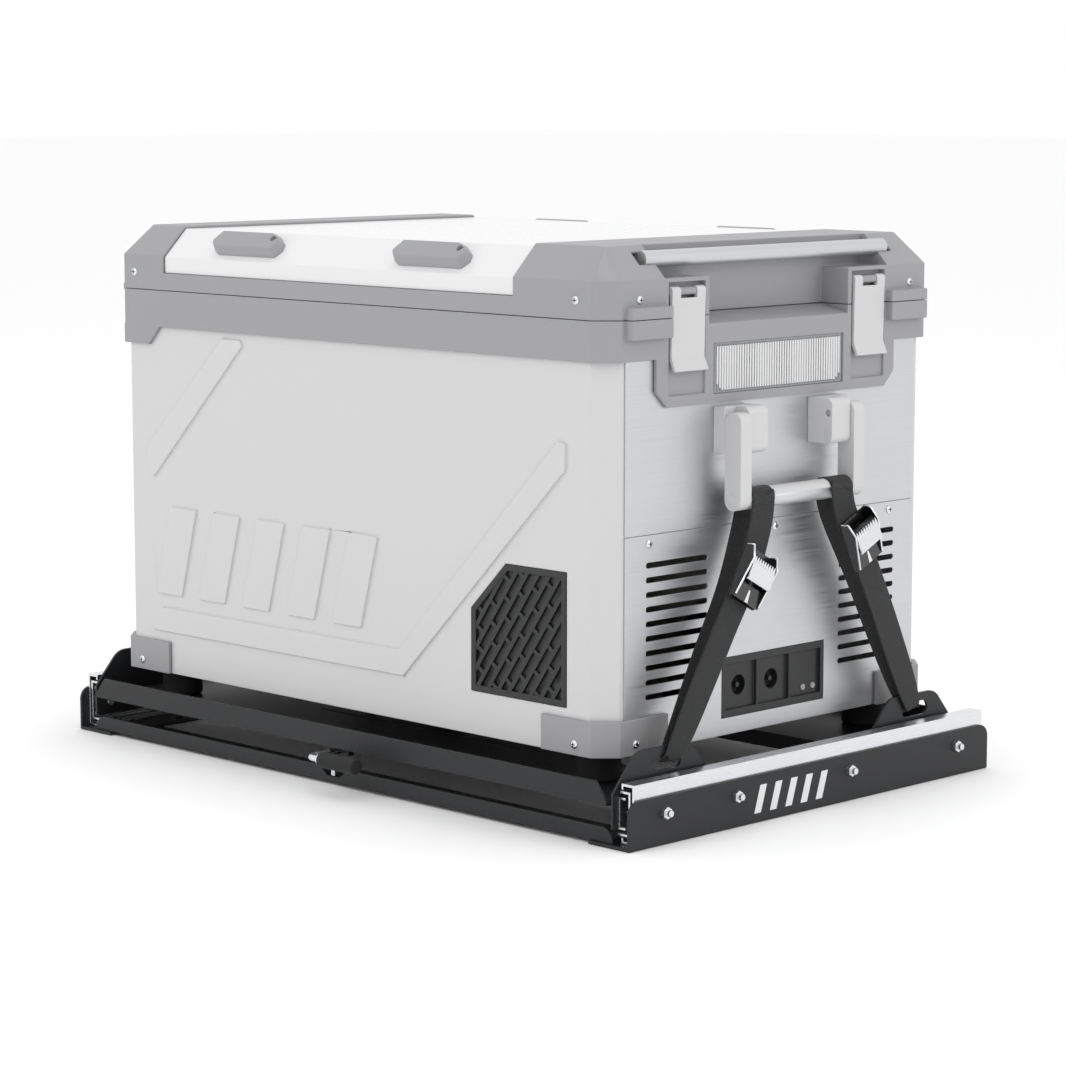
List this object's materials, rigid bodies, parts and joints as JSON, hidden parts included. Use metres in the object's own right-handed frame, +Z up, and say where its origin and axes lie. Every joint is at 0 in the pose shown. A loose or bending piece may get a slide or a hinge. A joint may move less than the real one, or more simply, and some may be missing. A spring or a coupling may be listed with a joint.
{
  "type": "compressor cooler fridge",
  "caption": "Chest cooler fridge with end latches and drop handles, strapped down on a lockable slide-out tray for a vehicle.",
  "frame": {"origin": "on the floor plane, at the centre of the four floor-bolt holes in the bottom flanges of the side brackets", "axes": "+X along the cooler's long side, towards the latches; -Y the way the tray slides out; +Z up"},
  "size_m": [0.7868, 0.5355, 0.512],
  "materials": {
    "black_enamel": "gloss",
    "black_nylon": "matte",
    "black_powder_coat": "satin",
    "black_rubber": "matte",
    "black_webbing": "matte",
    "brushed_aluminium": "satin",
    "chrome": "gloss",
    "clear_plastic": "gloss",
    "dark_plastic": "satin",
    "evaporator_sheet": "satin",
    "foam": "matte",
    "grey_plastic": "matte",
    "light_grey_plastic": "satin",
    "white_plastic": "gloss",
    "white_powder_coat": "satin",
    "zinc_steel": "satin"
  },
  "bodies": {
    "base": {"left_side_bracket": "black_powder_coat", "right_side_bracket": "black_powder_coat", "front_cross_rail": "black_powder_coat", "rear_cross_rail": "black_powder_coat", "left_outer_rail": "zinc_steel", "right_outer_rail": "zinc_steel", "base_fasteners": "zinc_steel"},
    "outer_cages": {"outer_ball_cages": "zinc_steel"},
    "middle_rails": {"left_middle_rail": "zinc_steel", "right_middle_rail": "zinc_steel"},
    "inner_cages": {"inner_ball_cages": "zinc_steel"},
    "tray": {"left_inner_rail": "zinc_steel", "right_inner_rail": "zinc_steel", "front_tray_plate": "black_powder_coat", "rear_tray_plate": "black_powder_coat", "left_front_ear": "black_powder_coat", "right_front_ear": "black_powder_coat", "left_rear_ear": "black_powder_coat", "right_rear_ear": "black_powder_coat", "tray_screws": "zinc_steel", "rod_bearings": "black_nylon", "cabinet_shell": "white_powder_coat", "upper_end_plate": "brushed_aluminium", "lower_end_plate": "brushed_aluminium", "foam_insulation": "foam", "inner_liner": "white_plastic", "evaporator": "evaporator_sheet", "top_trim": "grey_plastic", "light_lens": "clear_plastic", "corner_guards": "grey_plastic", "rubber_feet": "black_rubber", "intake_grille": "dark_plastic", "compressor": "black_enamel", "condenser": "evaporator_sheet", "fan_frame": "dark_plastic", "power_panel": "dark_plastic", "basket": "white_plastic", "case_screws": "chrome", "handle_brackets": "light_grey_plastic", "hinge_pins": "chrome", "tie_down_straps": "black_webbing", "cam_buckles": "black_enamel"},
    "lock": {"lock_rod": "zinc_steel", "lock_grip": "black_rubber"},
    "fan": {"fan_rotor": "dark_plastic"},
    "power_key": {"power_button": "grey_plastic"},
    "set_key": {"set_button": "grey_plastic"},
    "lid": {"lid_frame": "grey_plastic", "lid_panel": "white_plastic", "lid_foam": "foam", "lid_liner": "white_plastic", "lid_gasket": "black_rubber", "lid_grab_bar": "brushed_aluminium", "anchor_pods": "grey_plastic"},
    "latch_front": {"front_latch": "light_grey_plastic"},
    "latch_rear": {"rear_latch": "light_grey_plastic"},
    "handle_right": {"right_drop_handle": "light_grey_plastic"},
    "handle_left": {"left_drop_handle": "light_grey_plastic"},
    "cam_front": {"front_cam_lever": "chrome"},
    "cam_rear": {"rear_cam_lever": "chrome"}
  },
  "joints": [
    {"name": "tray_slide", "type": "slide", "parent": "base", "child": "tray", "axis": [0, -1, 0], "range_m": [0, 0.36]},
    {"name": "outer_cage_slide", "type": "slide", "parent": "base", "child": "outer_cages", "axis": [0, -1, 0], "range_m": [0, 0.09]},
    {"name": "middle_rail_slide", "type": "slide", "parent": "base", "child": "middle_rails", "axis": [0, -1, 0], "range_m": [0, 0.18]},
    {"name": "inner_cage_slide", "type": "slide", "parent": "base", "child": "inner_cages", "axis": [0, -1, 0], "range_m": [0, 0.27]},
    {"name": "lock_turn", "type": "hinge", "parent": "tray", "child": "lock", "pos_m": [0, 0, 0.0315], "axis": [0, -1, 0], "range_deg": [0, 60]},
    {"name": "fan_spin", "type": "hinge", "parent": "tray", "child": "fan", "pos_m": [0.221, -0.2095, 0.168], "axis": [0, -1, 0], "continuous": true},
    {"name": "power_press", "type": "slide", "parent": "tray", "child": "power_key", "axis": [-1, 0, 0], "range_m": [0, 0.0012], "stiffness_N_per_m": 600},
    {"name": "set_press", "type": "slide", "parent": "tray", "child": "set_key", "axis": [-1, 0, 0], "range_m": [0, 0.0012], "stiffness_N_per_m": 600},
    {"name": "lid_hinge", "type": "hinge", "parent": "tray", "child": "lid", "pos_m": [-0.356, 0, 0.4496], "axis": [0, -1, 0], "range_deg": [0, 95]},
    {"name": "front_latch_turn", "type": "hinge", "parent": "lid", "child": "latch_front", "pos_m": [0.331, -0.124, 0.472], "axis": [0, -1, 0], "range_deg": [0, 110]},
    {"name": "rear_latch_turn", "type": "hinge", "parent": "lid", "child": "latch_rear", "pos_m": [0.331, 0.124, 0.472], "axis": [0, -1, 0], "range_deg": [0, 110]},
    {"name": "right_handle_swing", "type": "hinge", "parent": "tray", "child": "handle_right", "pos_m": [0.3525, 0, 0.354], "axis": [0, -1, 0], "range_deg": [0, 8], "deforming": ["tie_down_straps"]},
    {"name": "left_handle_swing", "type": "hinge", "parent": "tray", "child": "handle_left", "pos_m": [-0.3692, 0, 0.354], "axis": [0, 1, 0], "range_deg": [0, 90]},
    {"name": "front_cam_turn", "type": "hinge", "parent": "tray", "child": "cam_front", "pos_m": [0.37598, -0.07226, 0.22957], "axis": [-0.0019, -0.8783, 0.4782], "range_deg": [0, 70]},
    {"name": "rear_cam_turn", "type": "hinge", "parent": "tray", "child": "cam_rear", "pos_m": [0.37523, 0.06884, 0.24887], "axis": [0.0017, -0.9029, -0.4299], "range_deg": [0, 70]}
  ],
  "couplings": [
    {"joint": "outer_cage_slide", "follows": "tray_slide", "ratio": 0.25},
    {"joint": "middle_rail_slide", "follows": "tray_slide", "ratio": 0.5},
    {"joint": "inner_cage_slide", "follows": "tray_slide", "ratio": 0.75}
  ]
}
